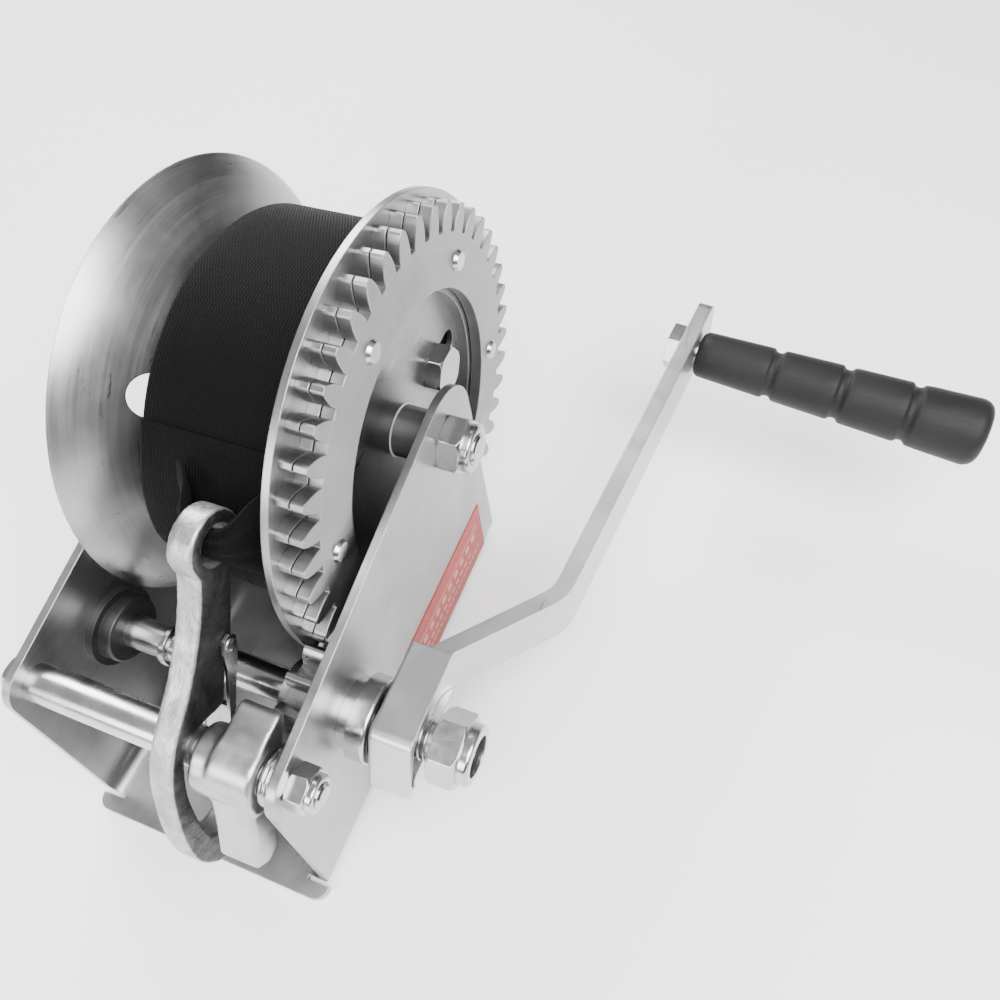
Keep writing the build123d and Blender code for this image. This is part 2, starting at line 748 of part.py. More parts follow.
def main():
    drum_nut = (HALF, DRUM, DRUM_NUT_AF, 11.5, DRUM_BOLT / 2)
    tie_nut = (HALF, TIE, TIE_NUT_AF, 9.0, TIE_BOLT / 2)
    crank_nut = (NUT_LEFT, PINION, CRANK_NUT_AF, NUT_HEIGHT, 7.0)
    save(make_frame(), "frame")
    save(make_label(), "label")
    save(make_pinion_bearing(), "pinion_bearing")
    save(make_left_bushing(), "pinion_bushing")
    save(ring(GEAR_BACK + 0.4, INNER, DRUM, 9.5, DRUM_BOLT / 2 + 0.05), "drum_spacer_right")
    save(ring(-INNER, LEFT_FACE - FLANGE_SHEET - 0.4, DRUM, 9.5, DRUM_BOLT / 2 + 0.05), "drum_spacer_left")
    save(hex_bolt(-HALF, HALF + 12.6, DRUM, DRUM_NUT_AF, 7.5, DRUM_BOLT / 2), "drum_bolt")
    save(lock_nut(*drum_nut, math.radians(8)), "drum_nut")
    save(nut_insert(*drum_nut), "drum_nut_insert")
    save(hex_bolt(-HALF, HALF + 10.2, TIE, TIE_NUT_AF, 5.3, TIE_BOLT / 2), "tie_bolt")
    save(lock_nut(*tie_nut, math.radians(20)), "tie_nut")
    save(nut_insert(*tie_nut), "tie_nut_insert")
    save(ring(-INNER, INNER, TIE, TIE_TUBE / 2, TIE_BOLT / 2 + 0.1), "tie_tube")
    save(make_pawl_spring(), "pawl_spring")
    save(make_hook(), "hook_body")
    save(make_latch_pin(), "latch_pin")
    save(make_strap_tail(), "strap_tail")
    save(ring(LEFT_FACE, RIGHT_FACE, DRUM, HUB_RADIUS, HUB_RADIUS - HUB_WALL), "drum_hub")
    save(make_drum_bushings(), "drum_bushings")
    save(make_left_flange(), "left_flange")
    save(make_right_flange(), "right_flange")
    save(make_gear_plate(GEAR_BACK, GEAR_OPENING - 2.0), "gear_plate_inner")
    save(make_gear_plate(GEAR_FRONT - GEAR_PLATE, GEAR_OPENING), "gear_plate_outer")
    save(make_gear_rivets(), "gear_rivets")
    save(make_strap_roll(), "strap_roll")
    clamp = clamp_centre()
    save(hex_bolt(GEAR_BACK, LEFT_FACE - 12.0, clamp, 17.0, 6.4, CLAMP_BOLT / 2, -1), "strap_bolt")
    save(make_pinion(), "pinion")
    save(make_pinion_shaft(), "pinion_shaft")
    save(ring(-23.0, -20.4, PINION, 7.6, 6.0, 0.5), "shaft_collar")
    save(make_saddle(), "crank_saddle")
    save(make_arm(), "crank_arm")
    save(lock_nut(*crank_nut, math.radians(12)), "crank_nut")
    save(nut_insert(*crank_nut), "crank_nut_insert")
    save(make_grip_bolt(), "grip_bolt")
    save(make_grip_nut(), "grip_nut")
    save(make_grip(), "grip")
    save(make_pawl(), "pawl")
    save(make_latch(), "hook_latch")


main()
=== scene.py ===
import math

import bmesh
import bpy
from mathutils import Matrix, Vector, noise


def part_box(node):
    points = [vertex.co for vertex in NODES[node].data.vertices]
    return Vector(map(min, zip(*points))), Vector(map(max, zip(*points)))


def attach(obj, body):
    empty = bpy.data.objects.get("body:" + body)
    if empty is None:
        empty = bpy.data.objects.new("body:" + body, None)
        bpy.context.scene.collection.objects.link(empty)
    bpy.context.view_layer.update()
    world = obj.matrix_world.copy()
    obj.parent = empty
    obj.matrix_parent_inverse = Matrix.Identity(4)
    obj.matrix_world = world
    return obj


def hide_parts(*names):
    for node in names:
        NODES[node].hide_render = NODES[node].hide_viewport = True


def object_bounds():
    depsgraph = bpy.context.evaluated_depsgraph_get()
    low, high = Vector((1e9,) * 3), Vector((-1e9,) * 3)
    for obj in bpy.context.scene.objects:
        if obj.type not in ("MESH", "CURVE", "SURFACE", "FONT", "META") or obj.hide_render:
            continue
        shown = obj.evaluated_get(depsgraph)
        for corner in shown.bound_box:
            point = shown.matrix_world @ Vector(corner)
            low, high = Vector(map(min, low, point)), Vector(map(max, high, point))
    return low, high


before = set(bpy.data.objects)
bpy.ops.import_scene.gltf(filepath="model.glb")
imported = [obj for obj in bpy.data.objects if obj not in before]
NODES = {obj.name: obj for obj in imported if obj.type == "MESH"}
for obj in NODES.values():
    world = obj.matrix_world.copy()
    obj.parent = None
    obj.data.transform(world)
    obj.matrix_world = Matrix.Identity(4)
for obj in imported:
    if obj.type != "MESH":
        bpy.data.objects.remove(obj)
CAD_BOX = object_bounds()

MM = 0.001

# Shaft axes as (Y, Z) and drum sizes, in millimetres, as in the CAD.
DRUM = (59.5, 96.0)
SHAFT_SPACING = 96.9
MESH_ANGLE = math.radians(201)
PINION = (
    DRUM[0] + SHAFT_SPACING * math.cos(MESH_ANGLE),
    DRUM[1] + SHAFT_SPACING * math.sin(MESH_ANGLE),
)
TIE = (-61.5, 78.0)
ROLL_RADIUS = 69.5
STRAP = 1.3
STRAP_WIDTH = 50.0
ROLL_LEFT = -21.0
EYE_ANGLE = math.radians(156.5)
EYE_REACH = 84.7
HOOK_MID = 12.4
LEAN = math.radians(5.25)
CRANK_LENGTH = 192.0
KNEE = (103.0, 58.0)
GRIP_LENGTH = 114.0
GRIP_GROOVES = (29.5, 57.0, 83.5)
GRIP_RADIUS = 9.6
GRIP_SPREAD = 3.6
CLAMP_ANGLE = math.radians(4)
PAD_START = 138
PAD_SPAN = 38


# ---------------------------------------------------------------- camera, light, floor

def make_camera():
    data = bpy.data.cameras.new("camera")
    data.sensor_width = 36.0
    data.lens = 30.17
    data.clip_start = 0.01
    data.clip_end = 20.0
    camera = bpy.data.objects.new("camera", data)
    bpy.context.scene.collection.objects.link(camera)
    forward = Vector((-0.2595, 0.5024, -0.8248)).normalized()
    right = forward.cross(Vector((-0.261, 0.786, 0.561))).normalized()
    up = right.cross(forward)
    turn = Matrix((right, up, -forward)).transposed().to_4x4()
    camera.matrix_world = Matrix.Translation(Vector((149.3, -98.2, 326.6)) * MM) @ turn
    bpy.context.scene.camera = camera


def make_light(name, place, target, size, energy):
    data = bpy.data.lights.new(name, "AREA")
    data.shape = "RECTANGLE"
    data.size, data.size_y = size
    data.energy = energy
    lamp = bpy.data.objects.new(name, data)
    bpy.context.scene.collection.objects.link(lamp)
    lamp.location = place
    lamp.rotation_mode = "QUATERNION"
    lamp.rotation_quaternion = (Vector(target) - Vector(place)).to_track_quat("-Z", "Y")


def make_world():
    world = bpy.data.worlds.new("studio")
    bpy.context.scene.world = world
    world.use_nodes = True
    tree = world.node_tree
    coord = tree.nodes.new("ShaderNodeTexCoord")
    split = tree.nodes.new("ShaderNodeSeparateXYZ")
    ramp = tree.nodes.new("ShaderNodeValToRGB")
    background = tree.nodes["Background"]
    tree.links.new(coord.outputs["Generated"], split.inputs[0])
    tree.links.new(split.outputs["Z"], ramp.inputs[0])
    tree.links.new(ramp.outputs[0], background.inputs["Color"])
    stops = ramp.color_ramp.elements
    stops[0].position = 0.0
    stops[0].color = (0.50, 0.50, 0.51, 1)
    stops[1].position = 1.0
    stops[1].color = (0.95, 0.95, 0.95, 1)
    for place, level in ((0.16, 0.10), (0.42, 0.42), (0.70, 0.95)):
        stop = stops.new(place)
        stop.color = (level, level, level * 1.01, 1)
    background.inputs["Strength"].default_value = 0.6


# ---------------------------------------------------------------- material tools

class Paint:
    """A node material under construction."""

    def __init__(self, name, metallic):
        self.material = bpy.data.materials.new(name)
        self.material.use_nodes = True
        self.tree = self.material.node_tree
        self.shader = self.tree.nodes["Principled BSDF"]
        self.shader.inputs["Metallic"].default_value = metallic
        self.shader.inputs["IOR"].default_value = 1.5

    def node(self, kind, **values):
        made = self.tree.nodes.new("ShaderNode" + kind)
        for key, value in values.items():
            setattr(made, key, value)
        return made

    def wire(self, source, target):
        self.tree.links.new(source, target)

    def feed(self, socket, value):
        if isinstance(value, bpy.types.NodeSocket):
            self.wire(value, socket)
        else:
            socket.default_value = value

    def coords(self, kind="Object"):
        return self.node("TexCoord").outputs[kind]

    def scaled(self, vector, scale):
        made = self.node("Mapping")
        self.wire(vector, made.inputs["Vector"])
        made.inputs["Scale"].default_value = scale
        return made.outputs[0]

    def math(self, operation, a, b=0.0, clamp=False):
        made = self.node("Math", operation=operation, use_clamp=clamp)
        self.feed(made.inputs[0], a)
        self.feed(made.inputs[1], b)
        return made.outputs[0]

    def noise(self, vector, scale, detail=3.0, rough=0.55, distortion=0.0):
        made = self.node("TexNoise")
        self.wire(vector, made.inputs["Vector"])
        made.inputs["Scale"].default_value = scale
        made.inputs["Detail"].default_value = detail
        made.inputs["Roughness"].default_value = rough
        made.inputs["Distortion"].default_value = distortion
        return made.outputs[0]

    def spread(self, value, low, high, out_low=0.0, out_high=1.0):
        made = self.node("MapRange", clamp=True)
        wanted = {
            "Value": value, "From Min": low, "From Max": high, "To Min": out_low, "To Max": out_high,
        }
        for key, item in wanted.items():
            self.feed(made.inputs[key], item)
        return made.outputs[0]

    def blend(self, share, first, second):
        made = self.node("Mix", data_type="RGBA")
        self.feed(made.inputs["Factor"], share)
        colours = [s for s in made.inputs if s.type == "RGBA"]
        self.feed(colours[0], first)
        self.feed(colours[1], second)
        return next(s for s in made.outputs if s.type == "RGBA")

    def bump(self, height, strength, distance, normal=None):
        made = self.node("Bump")
        made.inputs["Strength"].default_value = strength
        made.inputs["Distance"].default_value = distance
        self.wire(height, made.inputs["Height"])
        if normal is not None:
            self.wire(normal, made.inputs["Normal"])
        return made.outputs[0]

    def rounded(self, radius):
        made = self.node("Bevel", samples=4)
        made.inputs["Radius"].default_value = radius
        return made.outputs[0]

    def edges(self, rounded):
        """1 near a sharp edge and 0 on open faces."""
        dot = self.node("VectorMath", operation="DOT_PRODUCT")
        self.wire(rounded, dot.inputs[0])
        self.wire(self.node("NewGeometry").outputs["Normal"], dot.inputs[1])
        away = self.math("SUBTRACT", 1.0, dot.outputs["Value"])
        return self.spread(away, 0.004, 0.12)

    def done(self, colour, roughness, normal):
        self.feed(self.shader.inputs["Base Color"], colour)
        self.feed(self.shader.inputs["Roughness"], roughness)
        self.wire(normal, self.shader.inputs["Normal"])
        return self.material


def grey(level):
    return (level, level, level, 1.0)


def spun(paint, vector, centre):
    """Vector whose first part is the distance from a shaft axis and second the angle round it."""
    split = paint.node("SeparateXYZ")
    paint.wire(vector, split.inputs[0])
    y = paint.math("SUBTRACT", split.outputs["Y"], centre[0] * MM)
    z = paint.math("SUBTRACT", split.outputs["Z"], centre[1] * MM)
    squares = paint.math("ADD", paint.math("MULTIPLY", y, y), paint.math("MULTIPLY", z, z))
    radius = paint.math("SQRT", squares)
    angle = paint.math("ARCTAN2", z, y)
    made = paint.node("CombineXYZ")
    paint.wire(radius, made.inputs["X"])
    paint.wire(angle, made.inputs["Y"])
    paint.wire(split.outputs["X"], made.inputs["Z"])
    return made.outputs[0]


def zinc(name, light, dark, rough, grain=(90, 900, 90), centre=None, patches=26.0, edge_highlight_and_wear=0.5, edge=0.0005):
    """Zinc-plated steel: cloudy patches, grain along one direction or round an axis, and edges painted
    brighter: a painted highlight, together with worn edges.
    """
    paint = Paint(name, 1.0)
    place = paint.coords()
    if centre:
        lines = paint.scaled(spun(paint, place, centre), (1500, 1.2, 40))
    else:
        lines = paint.scaled(place, grain)
    cloud = paint.noise(place, patches, 4.0, 0.6, 0.8)
    fine = paint.noise(lines, 1.0, 3.0, 0.65)
    speck = paint.noise(place, 1400.0, 2.0, 0.7)
    scratch = paint.noise(paint.scaled(place, (700, 30, 120)), 1.0, 2.0, 0.5, 1.5)
    rounded = paint.rounded(edge)
    rim = paint.edges(rounded)
    tone = paint.math("ADD", paint.math("MULTIPLY", cloud, 0.7), paint.math("MULTIPLY", fine, 0.3))
    colour = paint.blend(paint.spread(tone, 0.32, 0.66), grey(dark), grey(light))
    # painted highlight: the base colour is lightened along sharp edges, together with worn edges
    colour = paint.blend(paint.math("MULTIPLY", rim, edge_highlight_and_wear), colour, grey(min(0.95, light * 1.15)))
    matt = paint.math("ADD", paint.math("MULTIPLY", cloud, 0.22), paint.math("MULTIPLY", fine, 0.12))
    matt = paint.math("ADD", matt, paint.math("MULTIPLY", paint.spread(scratch, 0.66, 0.74), -0.12))
    matt = paint.math("ADD", matt, rough - 0.17, clamp=True)
    height = paint.math("ADD", fine, paint.math("MULTIPLY", speck, 0.6))
    normal = paint.bump(height, 0.10, 0.00008, rounded)
    normal = paint.bump(cloud, 0.10, 0.0006, normal)
    return paint.done(colour, matt, normal)


def cast_zinc(name, light, dark, rough):
    paint = Paint(name, 1.0)
    place = paint.coords()
    cloud = paint.noise(place, 60.0, 4.0, 0.6, 0.5)
    grain = paint.noise(place, 900.0, 4.0, 0.7)
    colour = paint.blend(paint.spread(cloud, 0.35, 0.65), grey(dark), grey(light))
    matt = paint.spread(cloud, 0.3, 0.7, rough - 0.07, rough + 0.1)
    normal = paint.bump(grain, 0.25, 0.00012)
    normal = paint.bump(cloud, 0.25, 0.0008, normal)
    return paint.done(colour, matt, normal)


def forged_zinc(name):
    """Hot-dip finish on a forging: pitted, with painted shade on the faces turned along X and a painted
    highlight on its rounded edges.
    """
    paint = Paint(name, 0.92)
    place = paint.coords()
    split = paint.node("SeparateXYZ")
    paint.wire(paint.coords("Normal"), split.inputs[0])
    # painted shade and highlight by facing: faces turned along X are darkened, the rest lightened
    side_shade_mask = paint.spread(paint.math("ABSOLUTE", split.outputs["X"]), 0.80, 0.97)
    cloud = paint.noise(place, 110.0, 5.0, 0.65, 1.0)
    pits = paint.noise(place, 700.0, 4.0, 0.7)
    dents = paint.noise(paint.scaled(place, (120, 50, 50)), 3.0, 3.0, 0.6)
    # painted shade on the sides turned along X
    side = paint.blend(paint.spread(cloud, 0.35, 0.7), grey(0.035), grey(0.10))
    # painted highlight on the rounded back and edges
    lit_spine_colour = paint.blend(paint.spread(cloud, 0.3, 0.68), grey(0.24), grey(0.48))
    colour = paint.blend(side_shade_mask, lit_spine_colour, side)
    matt = paint.spread(pits, 0.3, 0.7, 0.34, 0.56)
    normal = paint.bump(pits, 0.35, 0.0002)
    normal = paint.bump(dents, 0.5, 0.0009, normal)
    return paint.done(colour, matt, normal)


def dark_plastic(name, level, rough, centre=None):
    paint = Paint(name, 0.0)
    place = paint.coords()
    grain = paint.noise(place, 1500.0, 3.0, 0.6)
    lines = spun(paint, place, centre) if centre else place
    rings = paint.noise(paint.scaled(lines, (900, 2, 30)), 1.0, 2.0)
    rounded = paint.rounded(0.0004)
    rim = paint.edges(rounded)
    colour = paint.blend(paint.spread(rings, 0.3, 0.7), grey(level * 0.75), grey(level * 1.25))
    # painted highlight: the base colour is lightened along sharp edges
    colour = paint.blend(paint.math("MULTIPLY", rim, 0.5), colour, grey(level * 2.2))
    matt = paint.spread(grain, 0.3, 0.7, rough - 0.08, rough + 0.08)
    return paint.done(colour, matt, paint.bump(paint.math("ADD", grain, rings), 0.15, 0.0001, rounded))


def rubber(name):
    """Matt moulded rubber with a fine grain and a lighter bloom."""
    paint = Paint(name, 0.0)
    place = paint.coords()
    bloom = paint.noise(place, 45.0, 4.0, 0.6, 0.6)
    grain = paint.noise(place, 1800.0, 3.0, 0.6)
    streak = paint.noise(paint.scaled(place, (60, 800, 800)), 1.0, 2.0)
    dark, light = (0.0055, 0.0055, 0.0056, 1), (0.0115, 0.0115, 0.0117, 1)
    colour = paint.blend(paint.spread(bloom, 0.3, 0.7), dark, light)
    matt = paint.spread(paint.math("ADD", bloom, streak), 0.7, 1.3, 0.50, 0.66)
    normal = paint.bump(grain, 0.22, 0.00012)
    normal = paint.bump(streak, 0.08, 0.0002, normal)
    paint.shader.inputs["Specular IOR Level"].default_value = 0.22
    paint.shader.inputs["Sheen Weight"].default_value = 0.03
    return paint.done(colour, matt, normal)


def webbing(name):
    """Black polyester webbing: ribs across the strap over fine warp threads, from UV in metres."""
    paint = Paint(name, 0.0)
    split = paint.node("SeparateXYZ")
    paint.wire(paint.coords("UV"), split.inputs[0])
    along, across = split.outputs["X"], split.outputs["Y"]
    warp = paint.math("SINE", paint.math("MULTIPLY", across, 2 * math.pi / 0.00105))
    shift = paint.math("MULTIPLY", paint.math("SIGN", warp), 0.25)
    turn = paint.math("ADD", paint.math("MULTIPLY", along, 1 / 0.0019), shift)
    ribs = paint.math("SINE", paint.math("MULTIPLY", turn, 2 * math.pi))
    weave = paint.math("ADD", paint.math("MULTIPLY", ribs, 0.62), paint.math("MULTIPLY", warp, 0.38))
    place = paint.coords()
    fuzz = paint.noise(place, 2600.0, 3.0, 0.7)
    cloud = paint.noise(place, 35.0, 4.0, 0.6, 0.5)
    thread = paint.spread(paint.math("ADD", weave, paint.math("MULTIPLY", fuzz, 0.5)), -0.6, 1.2)
    colour = paint.blend(thread, (0.0004, 0.0004, 0.0004, 1), (0.0026, 0.0026, 0.0027, 1))
    dusty = paint.math("MULTIPLY", paint.spread(cloud, 0.5, 0.8), 0.35)
    colour = paint.blend(dusty, colour, (0.0036, 0.0036, 0.0037, 1))
    matt = paint.spread(thread, 0.0, 1.0, 0.72, 0.50)
    normal = paint.bump(weave, 0.55, 0.00028)
    normal = paint.bump(fuzz, 0.2, 0.0001, normal)
    paint.shader.inputs["Specular IOR Level"].default_value = 0.05
    paint.shader.inputs["Sheen Weight"].default_value = 0.02
    return paint.done(colour, matt, normal)


def label_print(name):
    """Red foil label with plain light bars where a printed label has its lines."""
    paint = Paint(name, 0.0)
    place = paint.coords()
    split = paint.node("SeparateXYZ")
    paint.wire(place, split.inputs[0])
    y = paint.math("SUBTRACT", split.outputs["Y"], 0.001)
    z = paint.math("SUBTRACT", split.outputs["Z"], 0.0065)
    bars = None
    for low, high, pitch, fill, start, stop in (
        (0.0215, 0.0222, 0.0900, 0.99, 0.004, 0.068),
        (0.0163, 0.0197, 0.0061, 0.55, 0.006, 0.066),
        (0.0110, 0.0127, 0.0043, 0.66, 0.012, 0.060),
        (0.0064, 0.0076, 0.0031, 0.68, 0.005, 0.067),
    ):
        above, below = paint.math("GREATER_THAN", z, low), paint.math("LESS_THAN", z, high)
        band = paint.math("MULTIPLY", above, below)
        after, before = paint.math("GREATER_THAN", y, start), paint.math("LESS_THAN", y, stop)
        inside = paint.math("MULTIPLY", after, before)
        dash = paint.math("LESS_THAN", paint.math("FRACT", paint.math("DIVIDE", y, pitch)), fill)
        row = paint.math("MULTIPLY", paint.math("MULTIPLY", band, inside), dash)
        bars = row if bars is None else paint.math("MAXIMUM", bars, row)
    cloud = paint.noise(place, 120.0, 4.0, 0.6)
    grain = paint.noise(place, 1600.0, 3.0, 0.6)
    red = paint.blend(paint.spread(cloud, 0.3, 0.7), (0.26, 0.009, 0.004, 1), (0.34, 0.015, 0.007, 1))
    worn = paint.math("MULTIPLY", bars, paint.spread(grain, 0.30, 0.42, 0.55, 0.9))
    colour = paint.blend(worn, red, (0.52, 0.24, 0.18, 1))
    matt = paint.spread(grain, 0.3, 0.7, 0.36, 0.52)
    return paint.done(colour, matt, paint.bump(grain, 0.12, 0.0001))


def floor_paint():
    paint = Paint("studio_floor", 0.0)
    place = paint.coords()
    cloud = paint.noise(place, 3.0, 2.0)
    colour = paint.blend(paint.spread(cloud, 0.3, 0.7), grey(0.90), grey(0.93))
    return paint.done(colour, 0.75, paint.bump(paint.noise(place, 300.0), 0.05, 0.0005))


# ---------------------------------------------------------------- mesh tools

def side(x, centre, radius, angle):
    return Vector((x, centre[0] + radius * math.cos(angle), centre[1] + radius * math.sin(angle)))


def build(name, points, faces, paint, body, uv=None):
    """A mesh piece from points in millimetres, smooth shaded, riding on a body."""
    mesh = bpy.data.meshes.new(name)
    mesh.from_pydata([tuple(Vector(p) * MM) for p in points], [], faces)
    if uv is not None:
        layer = mesh.uv_layers.new(name="strap")
        for loop in mesh.loops:
            layer.data[loop.index].uv = uv[loop.vertex_index]
    mesh.shade_smooth()
    mesh.materials.append(paint)
    mesh.validate()
    made = bpy.data.objects.new(name, mesh)
    bpy.context.scene.collection.objects.link(made)
    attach(made, body)
    return made


def skin(rings):
    """Points and faces over a list of equal closed rings, capped at both ends."""
    count, size = len(rings), len(rings[0])
    points = [p for ring in rings for p in ring]
    faces = []
    for i in range(count - 1):
        a, b = i * size, (i + 1) * size
        for j in range(size):
            k = (j + 1) % size
            faces.append((a + j, b + j, b + k, a + k))
    faces.append(tuple(range(size)))
    faces.append(tuple(reversed(range((count - 1) * size, count * size))))
    return points, faces


def lathe(profile, origin, axis, across, steps=64):
    """Rings round an axis from a profile of (distance along, radius)."""
    axis = Vector(axis).normalized()
    across = Vector(across).normalized()
    third = axis.cross(across)
    rings = []
    for along, radius in profile:
        ring = []
        for k in range(steps):
            a = 2 * math.pi * k / steps
            spoke = across * math.cos(a) + third * math.sin(a)
            ring.append(Vector(origin) + axis * along + spoke * radius)
        rings.append(ring)
    return rings


def tube(path, radius, steps):
    """Rings of a round wire that follows a list of points."""
    rings = []
    up = Vector((1, 0, 0))
    for i, here in enumerate(path):
        ahead = path[min(i + 1, len(path) - 1)] - path[max(i - 1, 0)]
        ahead.normalize()
        across = up.cross(ahead)
        if across.length < 1e-6:
            across = Vector((0, 1, 0)).cross(ahead)
        across.normalize()
        up = ahead.cross(across).normalized()
        ring = []
        for k in range(steps):
            a = 2 * math.pi * k / steps
            ring.append(here + (across * math.cos(a) + up * math.sin(a)) * radius)
        rings.append(ring)
    return rings


def smooth_curve(points, steps):
    """Points of a Catmull-Rom curve through these points."""
    points = [Vector(p) for p in points]
    out = []
    for i in range(len(points) - 1):
        a, b, c = points[max(i - 1, 0)], points[i], points[i + 1]
        d = points[min(i + 2, len(points) - 1)]
        for k in range(steps):
            t = k / steps
            out.append(0.5 * (2 * b + (c - a) * t + (2 * a - 5 * b + 4 * c - d) * t * t
                              + (3 * b - a - 3 * c + d) * t ** 3))
    out.append(points[-1])
    return out


def softened(node, name, voxel, rounds, paint, body, lumps, lump_size):
    """A forged or cast skin over a CAD node: remeshed, its edges rounded off, then slightly uneven."""
    mesh = NODES[node].data.copy()
    work = bmesh.new()
    work.from_mesh(mesh)
    bmesh.ops.remove_doubles(work, verts=work.verts, dist=1e-6)
    work.to_mesh(mesh)
    work.free()
    made = bpy.data.objects.new(name, mesh)
    bpy.context.scene.collection.objects.link(made)
    remesh = made.modifiers.new("remesh", "REMESH")
    remesh.mode = "VOXEL"
    remesh.voxel_size = voxel * MM
    relax = made.modifiers.new("relax", "SMOOTH")
    relax.factor = 0.5
    relax.iterations = rounds
    graph = bpy.context.evaluated_depsgraph_get()
    final = bpy.data.meshes.new_from_object(made.evaluated_get(graph))
    made.modifiers.clear()
    made.data = final
    for vertex in final.vertices:
        broad = noise.noise(vertex.co / (lump_size * MM))
        wave = broad + 0.4 * noise.noise(vertex.co / (lump_size * 0.35 * MM))
        vertex.co += vertex.normal * (wave * lumps * MM)
    final.materials.clear()
    final.materials.append(paint)
    final.shade_smooth()
    final.name = name
    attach(made, body)
    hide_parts(node)
    return made


# ---------------------------------------------------------------- strap

def strap_section(radius, angle, left, width, thick):
    """Ring of points across the strap with rounded selvedges, at an angle round the drum."""
    half = thick / 2
    right = left + width
    rows = [
        (left + 0.7, half), (right - 0.7, half), (right - 0.1, half * 0.45), (right - 0.1, -half * 0.45),
        (right - 0.7, -half), (left + 0.7, -half), (left + 0.1, -half * 0.45), (left + 0.1, half * 0.45),
    ]
    top = [(left + 0.7 + (width - 1.4) * k / 8, half) for k in range(1, 8)]
    rows = rows[:1] + top + rows[1:]
    return [side(x, DRUM, radius + lift, angle) for x, lift in rows], [x for x, _ in rows]


def make_roll(paint):
    """Wound strap: one wrap of the hub, over the clamp bolt, then close turns out to the full roll."""
    steps = 96
    first, hub = 35.9, 23.0
    turns = (ROLL_RADIUS - STRAP / 2 - first) / STRAP
    rings, uv = [], []
    length = 0.0
    total = int((turns + 1) * steps)
    for k in range(total + 1):
        turn = k / steps
        angle = CLAMP_ANGLE + 0.9 + 2 * math.pi * turn
        if turn < 1:
            ease = min(1.0, max(0.0, (turn - 0.72) / 0.22))
            radius = hub + (first - hub) * ease * ease * (3 - 2 * ease)
        else:
            radius = first + STRAP * (turn - 1)
        wander = 0.32 * noise.noise(Vector((turn * 0.9, 3.1, 0.0)))
        wander += 0.12 * noise.noise(Vector((turn * 5, 0, 7.7)))
        settle = 0.10 * noise.noise(Vector((turn * 3, 9.2, 1.0)))
        left = ROLL_LEFT + wander
        ring, across = strap_section(radius + settle, angle, left, STRAP_WIDTH, STRAP * 0.94)
        rings.append(ring)
        uv += [(length * MM, x * MM) for x in across]
        length += radius * 2 * math.pi / steps
    points, faces = skin(rings)
    roll = build("strap_wound", points, faces, paint, "drum", uv)
    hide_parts("strap_roll")


def make_tail(paint):
    """Strap's end: it lies on the roll, gathers and passes through the hook's eye."""
    near = ROLL_RADIUS + 0.55
    rings, uv = [], []
    length = 0.0
    count = 80
    for k in range(count + 1):
        t = k / count
        angle = math.radians(PAD_START + PAD_SPAN * t)
        thick = 0.12 + (STRAP - 0.15) * min(1.0, t * 1.8) * min(1.0, (1 - t) * 6 + 0.25)
        left = ROLL_LEFT + 0.3 + 0.25 * math.sin(7 * t)
        ring, across = strap_section(near + thick / 2, angle, left, STRAP_WIDTH - 0.6, thick)
        rings.append(ring)
        uv += [(length * MM, x * MM) for x in across]
        length += near * math.radians(PAD_SPAN) / count
    points, faces = skin(rings)
    pad = build("strap_end_on_roll", points, faces, paint, "frame", uv)
    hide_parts("strap_tail")

    out = Vector((0, math.cos(EYE_ANGLE), math.sin(EYE_ANGLE)))
    lie = Vector((0, -math.sin(EYE_ANGLE), math.cos(EYE_ANGLE)))
    base = Vector((0, *DRUM))
    low, high = near + 2.0, EYE_REACH - 0.4
    # From the eye's middle outward: distance along X, radius on the drum, half width, half thickness.
    half = [
        (0.0, high, 4.9, 2.6), (3.4, high, 4.9, 2.6), (6.6, high - 0.8, 6.2, 2.2),
        (9.2, high - 3.6, 9.2, 1.7), (11.4, low + 4.4, 12.5, 1.35), (14.4, low + 1.2, 15.0, 1.1),
        (17.2, low - 0.2, 15.5, 0.7),
    ]
    route = [(-x, r, w, d) for x, r, w, d in reversed(half[1:])] + half
    path = smooth_curve([base + out * r + Vector((HOOK_MID + x, 0, 0)) for x, r, w, d in route], 9)
    sizes = smooth_curve([(w, d, 0) for x, r, w, d in route], 9)
    rings, uv = [], []
    length = 0.0
    size = 56
    for i, here in enumerate(path):
        ahead = (path[min(i + 1, len(path) - 1)] - path[max(i - 1, 0)]).normalized()
        thick_way = ahead.cross(lie).normalized()
        wide, deep = sizes[i].x, sizes[i].y
        ring = []
        for k in range(size):
            a = 2 * math.pi * k / size
            c, s = math.cos(a), math.sin(a)
            fold = 1 + 0.16 * math.sin(6 * c * math.pi / 2 + 0.6) * (1 - c * c)
            x = math.copysign(abs(c) ** 0.8, c) * wide
            y = math.copysign(abs(s) ** 0.7, s) * deep * fold
            ring.append(here + lie * x + thick_way * y)
            uv.append((length * MM, (2 * STRAP_WIDTH) * abs(k / size - 0.5) * MM))
        rings.append(ring)
        if i:
            length += (path[i] - path[i - 1]).length
    points, faces = skin(rings)
    loop = build("strap_loop_through_eye", points, faces, paint, "frame", uv)
    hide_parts("strap_tail")


# ---------------------------------------------------------------- small detail

